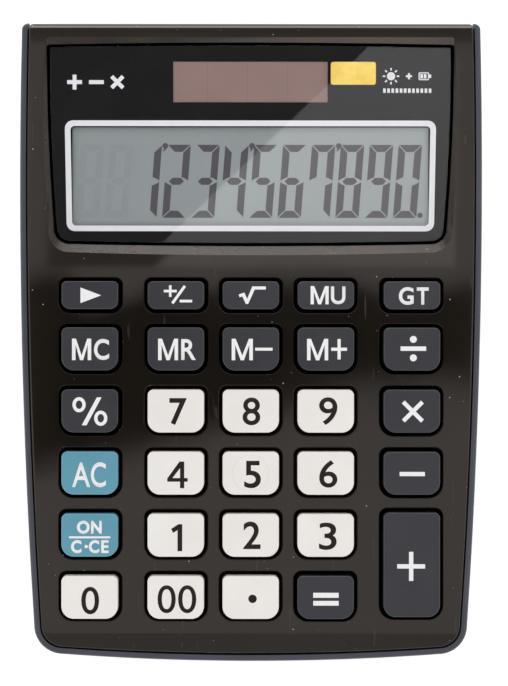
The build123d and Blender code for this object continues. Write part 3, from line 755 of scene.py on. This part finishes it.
def stroke_legends():
    """Legends made of strokes, dots and outlines, in millimetres from the key's centre."""
    return {
        "key_1": [
            [(0.62, 2.33), (1.49, 2.33), (1.49, -3.80), (0.42, -3.80), (0.42, 0.98), (-0.58, 0.34),
             (-1.03, 1.26)],
        ],
        "key_4": [
            [(-1.92, -2.13), (-1.92, -1.38), (0.85, 2.45), (1.93, 2.45), (1.93, -1.30),
             (2.72, -1.30), (2.72, -2.13), (1.93, -2.13), (1.93, -3.60), (0.98, -3.60),
             (0.98, 0.97), (-0.73, -1.30), (-0.73, -2.13)],
            [(-0.73, -2.13), (-0.73, -1.30), (0.98, -1.30), (0.98, -2.13)],
        ],
        "key_point": [disc(0.43, -0.5, 0.96)],
        "key_memory_clear": [letter_m(-1.84, -0.31, 4.36, 4.88, 0.80)],
        "key_memory_recall": [letter_m(-1.76, -0.31, 4.54, 4.88, 0.80)],
        "key_memory_minus": [letter_m(-1.95, -0.31, 4.80, 4.88, 0.80),
                             bar(0.98, -0.23, 4.93, -0.23, 0.66)],
        "key_memory_plus": [letter_m(-1.88, -0.31, 4.80, 4.88, 0.80),
                            cross(3.0, -0.23, 3.59, 4.63, 0.72)],
        "key_divide": [bar(-2.6, -0.08, 3.2, -0.08, 1.0), disc(0.3, 2.02, 0.79),
                       disc(0.3, -2.17, 0.79)],
        "key_percent": [[(-1.79, -3.43), (-0.72, -3.43), (2.70, 2.90), (1.63, 2.90)]],
        "key_multiply": [cross(0.20, -0.25, 6.10, 6.15, 0.94, turn=math.pi / 4)],
        "key_minus": [bar(-2.79, -0.34, 2.95, -0.34, 0.96)],
        "key_plus": [cross(-0.15, -0.52, 6.33, 6.60, 0.98)],
        "key_equals": [bar(-2.83, 0.32, 2.95, 0.32, 1.13), bar(-2.83, -1.49, 2.95, -1.49, 1.07)],
        "key_backspace": [[(-2.11, 1.52), (2.59, -0.25), (-2.11, -2.02)]],
        "key_sign": [cross(-1.28, 0.73, 2.95, 2.63, 0.58), bar(-0.80, -2.05, 2.05, 1.90, 0.62),
                     bar(0.87, -1.54, 3.69, -1.54, 0.60)],
        "key_square_root": [
            [(-2.78, -0.05), (-1.50, 0.42), (-0.85, -1.05), (0.30, 1.80), (3.38, 1.80),
             (3.38, 1.10), (0.86, 1.10), (-0.62, -2.17), (-1.15, -2.17), (-1.95, -0.46),
             (-2.56, -0.66)],
        ],
        "key_on_clear": [bar(-4.65, -0.67, 4.70, -0.67, 0.45), disc(-0.76, -2.77, 0.38)],
        "key_mark_up": [letter_m(-1.43, -0.18, 4.10, 4.13, 0.74)],
    }


def key_place(name):
    """A key's centre in the face frame, from its box."""
    if name == "key_plus":
        return COLUMNS[4], TALL_ROW
    low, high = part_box(name)
    middle = TO_FACE @ ((low + high) / 2)
    x = min(COLUMNS, key=lambda c: abs(c - middle.x))
    return x, min(ROWS, key=lambda row: abs(row - middle.y))


def make_legends():
    white = ink_paint("ink_white", (0.84, 0.84, 0.84), specular=0.3)
    dark = ink_paint("ink_dark", (0.016, 0.012, 0.010), specular=0.15)
    strokes = stroke_legends()
    slots = {row["node"]: row["material_slot"] for row in frame["record"]["subparts"]}
    for name in sorted(set(TEXT_LEGENDS) | set(strokes)):
        high = KEY_PROUD + INK + (HOME_DISC if name == "key_5" else 0)
        low = KEY_PROUD - SUNK
        parts = [letters(*legend, low, high) for legend in TEXT_LEGENDS.get(name, [])]
        if name in strokes:
            outlines = [[(x, y + LEGEND_LIFT) for x, y in outline] for outline in strokes[name]]
            parts.append(from_outlines(outlines, low, high))
        if name == "key_percent":
            for x, y in ((-2.41, 1.43), (2.52, -1.64)):
                parts.append(oval_ring(x, y, 1.50, 1.72, 0.76, low, high))
        x, y = key_place(name)
        mesh = to_mesh(f"{name}_legend", parts, FACE @ Matrix.Translation((x, y, 0)))
        ink = dark if slots[name] == "white_key" else white
        new_piece(f"{name}_legend", mesh, name, ink)


# ---------------------------------------------------------------- display
DIGIT_HEIGHT = 16.75
DIGIT_WIDTH = 5.37
DIGIT_PITCH = 6.64
DIGIT_BASE = 28.5
LAST_DIGIT_X = 32.79
SEGMENT = 1.62
HAIR = 0.16
SLANT = math.tan(math.radians(4.4))
SEGMENTS_ON = {
    "0": "abcdef", "1": "bc", "2": "abged", "3": "abgcd", "4": "fgbc", "5": "afgcd",
    "6": "afgedc", "7": "abcf", "8": "abcdefg", "9": "abcdfg",
}


def segment_shapes():
    """The seven segments of one upright digit, mitred where they meet."""
    w, h, t, g = DIGIT_WIDTH, DIGIT_HEIGHT, SEGMENT, HAIR
    m = h / 2
    k = t / 2
    mitre = k * 0.6
    upper = [(w, h - g), (w, m + g), (w - k, m + g + mitre), (w - t, m + k + g), (w - t, h - t - g)]
    lower = [(w, g), (w, m - g), (w - k, m - g - mitre), (w - t, m - k - g), (w - t, t + g)]
    return {
        "a": [(g, h), (w - g, h), (w - t - g, h - t), (t + g, h - t)],
        "d": [(g, 0), (w - g, 0), (w - t - g, t), (t + g, t)],
        "g": [(k + g, m), (t + g, m + k), (w - t - g, m + k), (w - k - g, m), (w - t - g, m - k),
              (t + g, m - k)],
        "b": upper,
        "c": lower,
        "f": [(w - x, y) for x, y in upper],
        "e": [(w - x, y) for x, y in lower],
    }


def digit_outlines(index, names):
    """Segments of the digit at a place counted from the right, slanted as the display is."""
    shapes = segment_shapes()
    x0 = LAST_DIGIT_X - DIGIT_PITCH * index
    return [[(x0 + x + y * SLANT, DIGIT_BASE + y) for x, y in shapes[n]] for n in names]


def comma(x, y):
    """A round dot with a tail that curls to the lower left."""
    radius = 0.66
    start, sweep, steps = -60, 290, 18
    turns = (math.radians(start + sweep * n / steps) for n in range(steps + 1))
    points = [(x + radius * math.cos(t), y + radius * math.sin(t)) for t in turns]
    return points + [(x - 0.28, y - 0.7), (x - 0.62, y - 1.35), (x - 0.1, y - 1.1)]


def make_digits():
    shown = "1234567890"
    comma_places, blank_places = (3, 6, 9), (10, 11)  # counted from the right
    lit = []
    for index, figure in enumerate(reversed(shown)):
        lit += digit_outlines(index, SEGMENTS_ON[figure])
    for index in comma_places:
        x = LAST_DIGIT_X - DIGIT_PITCH * index + DIGIT_WIDTH + DIGIT_HEIGHT * SLANT + 0.75
        lit.append(comma(x, DIGIT_BASE + DIGIT_HEIGHT - 0.25))
    lit.append(disc(LAST_DIGIT_X + DIGIT_WIDTH + 0.85, DIGIT_BASE + 0.62, 0.62, 20))
    faint = []
    for index in blank_places:
        faint += digit_outlines(index, "abcdefg")
    low, high = GLASS_TOP - SUNK, GLASS_TOP + INK
    ink = flat_paint("segment_dark", (0.090, 0.086, 0.100), 0.1, mottle=0.03, scale=300,
                     Specular_IOR_Level=0.15)
    ghost = flat_paint("segment_faint", (0.282, 0.313, 0.320), 0.1, mottle=0.02, scale=300,
                       Specular_IOR_Level=0.6)
    mesh = to_mesh("lcd_digits", [from_outlines(lit, low, high)], GLASS)
    new_piece("lcd_digits", mesh, "shell", ink)
    mesh = to_mesh("lcd_faint_digits", [from_outlines(faint, low, high)], GLASS)
    new_piece("lcd_faint_digits", mesh, "shell", ghost)


def make_window_print():
    """White frame, generic symbols and the power pictograms, on the back of the window."""
    white = flat_paint("print_white", (0.87, 0.875, 0.91), 0.5, mottle=0.02, scale=300,
                       Specular_IOR_Level=0.0)
    # Just inside the window's lower face, so that it is seen through the window.
    low, high = WINDOW_BACK + 0.002, WINDOW_BACK + 0.03
    frame_half, frame_rear = 42.0, 50.6
    outer = rounded(-42.58, 42.58, 25.4, 50.77, 1.9)
    inner = rounded(-41.28, 41.28, 26.68, 49.47, 0.9)
    taper = math.tan(math.radians(0.9))  # the sides draw in towards the front
    outer, inner = (
        [(x * (1 - (frame_rear - y) * taper / frame_half), y) for x, y in outline]
        for outline in (outer, inner)
    )
    mesh = to_mesh("window_frame_print", [ring(outer, inner, low, high)], GLASS)
    new_piece("window_frame_print", mesh, "shell", white)
    # A plus, a minus and a multiplication sign.
    y = 59.5
    marks = [
        bar(-42.0, y, -38.6, y, 0.9), bar(-40.3, y + 0.45, -40.3, y + 1.7, 0.9),
        bar(-40.3, y - 1.7, -40.3, y - 0.45, 0.9),
        bar(-37.0, y, -33.6, y, 0.9),
        bar(-31.8, y - 1.3, -29.2, y + 1.3, 0.9), bar(-31.8, y + 1.3, -30.82, y + 0.32, 0.9),
        bar(-30.18, y - 0.32, -29.2, y - 1.3, 0.9),
    ]
    mesh = to_mesh("window_symbols", [from_outlines(marks, low, high)], GLASS)
    new_piece("window_symbols", mesh, "shell", white)
    # A sun, a plus, a battery's end and charge, and a row of bars under them.
    x, y = 32.2, 60.9
    marks = [disc(x, y, 0.95)]
    for n in range(8):
        turn = math.radians(45 * n)
        dx, dy = math.cos(turn), math.sin(turn)
        marks.append(bar(x + 1.3 * dx, y + 1.3 * dy, x + 1.9 * dx, y + 1.9 * dy, 0.35))
    marks += [bar(35.6, y, 37.0, y, 0.45), bar(36.3, 60.2, 36.3, 60.68, 0.45),
              bar(36.3, 61.12, 36.3, 61.6, 0.45)]
    marks.append([(40.9, 60.5), (41.4, 60.5), (41.4, 61.3), (40.9, 61.3)])
    marks += [bar(38.9, y, 39.5, y, 1.0), bar(39.7, y, 40.3, y, 1.0)]
    marks += [bar(30.4 + n * 0.95, 57.6, 31.0 + n * 0.95, 57.6, 1.0) for n in range(12)]
    shell = ring(rounded(38.5, 40.9, 60.0, 61.8, 0.3), rounded(38.75, 40.65, 60.25, 61.55, 0.1),
                 low, high)
    mesh = to_mesh("power_symbols", [from_outlines(marks, low, high), shell], GLASS)
    new_piece("power_symbols", mesh, "shell", white)


def level_card(name, half, front, rear, height):
    """A card parallel to the keypad face."""
    return card(name, [(-half, front, height), (half, front, height), (half, rear, height),
                       (-half, rear, height)])


def make_window_card():
    """What the window mirrors: dull to the left of a straight edge, and a glare to its right."""
    height = 60.0
    reach = 1 + height / CAMERA_DISTANCE
    drop = height * math.tan(2 * WINDOW_TILT)
    # The glare's straight edge, as two points on the window.
    x0, y0, x1, y1 = 27.2, 68.0, -21.6, 21.7
    x0, y0, x1, y1 = x0 * reach, y0 * reach - drop, x1 * reach, y1 * reach - drop
    front, rear = 21.5 * reach - drop, 68.8 * reach - drop
    glow = level_card("window_card", 46.5 * reach, front, rear, height)
    x, y, _ = glow.xyz()
    # Positive on the glare's side.
    side = glow.maths(
        "SUBTRACT",
        glow.maths("MULTIPLY", glow.maths("SUBTRACT", x, x0), y0 - y1),
        glow.maths("MULTIPLY", glow.maths("SUBTRACT", y, y0), x0 - x1),
    )
    dull, glare_front, glare_rear = 0.36, 1.6, 2.05
    lit = glow.span(y, front, rear, glare_front, glare_rear)
    softness = 6.0
    edge = glow.span(side, -softness, softness, 0, 1)
    glow.strength_from(
        glow.maths("ADD", glow.maths("MULTIPLY", glow.maths("SUBTRACT", lit, dull), edge), dull)
    )


def make_keypad_card():
    """What the keypad mirrors: a dark band with soft, uneven edges."""
    height = 150.0
    reach = 1 + height / CAMERA_DISTANCE
    glow = level_card("keypad_card", 64 * reach, -36 * reach, 19.0 * reach, height)
    x, y, _ = glow.xyz()
    wave = glow.noise(0.028, 2)
    wander, slant = 6, 0.2
    shifted = glow.maths("ADD", y, glow.span(wave, 0.3, 0.7, -wander, wander))
    slanted = glow.maths("SUBTRACT", shifted, glow.maths("MULTIPLY", x, slant))
    rise = glow.span(slanted, -22 * reach, -15 * reach, 1, 0)
    fall = glow.span(shifted, 9.5 * reach, 13.5 * reach, 0, 1)
    ends = glow.span(glow.maths("ABSOLUTE", x, 0), 50 * reach, 62 * reach, 0, 1)
    share = glow.maths("MAXIMUM", glow.maths("MAXIMUM", rise, fall), ends)
    dark, light = 0.08, 1.0
    glow.strength_from(glow.span(share, 0, 1, dark, light))


def make_edge_cards():
    """Dim cards over the rear and front edges, and a lamp low down behind the rear edge."""
    for name, front, rear, strength in (("rear_card", 77.0, 230.0, 0.42),
                                        ("front_card", -230.0, -76.0, 0.6)):
        level_card(name, half=90.0, front=front, rear=rear, height=62.0).set_strength(strength)
    left, right, y, low, high = -150.0, 110.0, 240.0, -18.0, 75.0
    lamp = card("rear_lamp", [(left, y, low), (right, y, low), (right, y, high), (left, y, high)])
    lamp.set_strength(5.0)


make_camera()
make_stage()
paint_nodes()
make_legends()
make_digits()
make_window_print()
make_window_card()
make_keypad_card()
make_edge_cards()
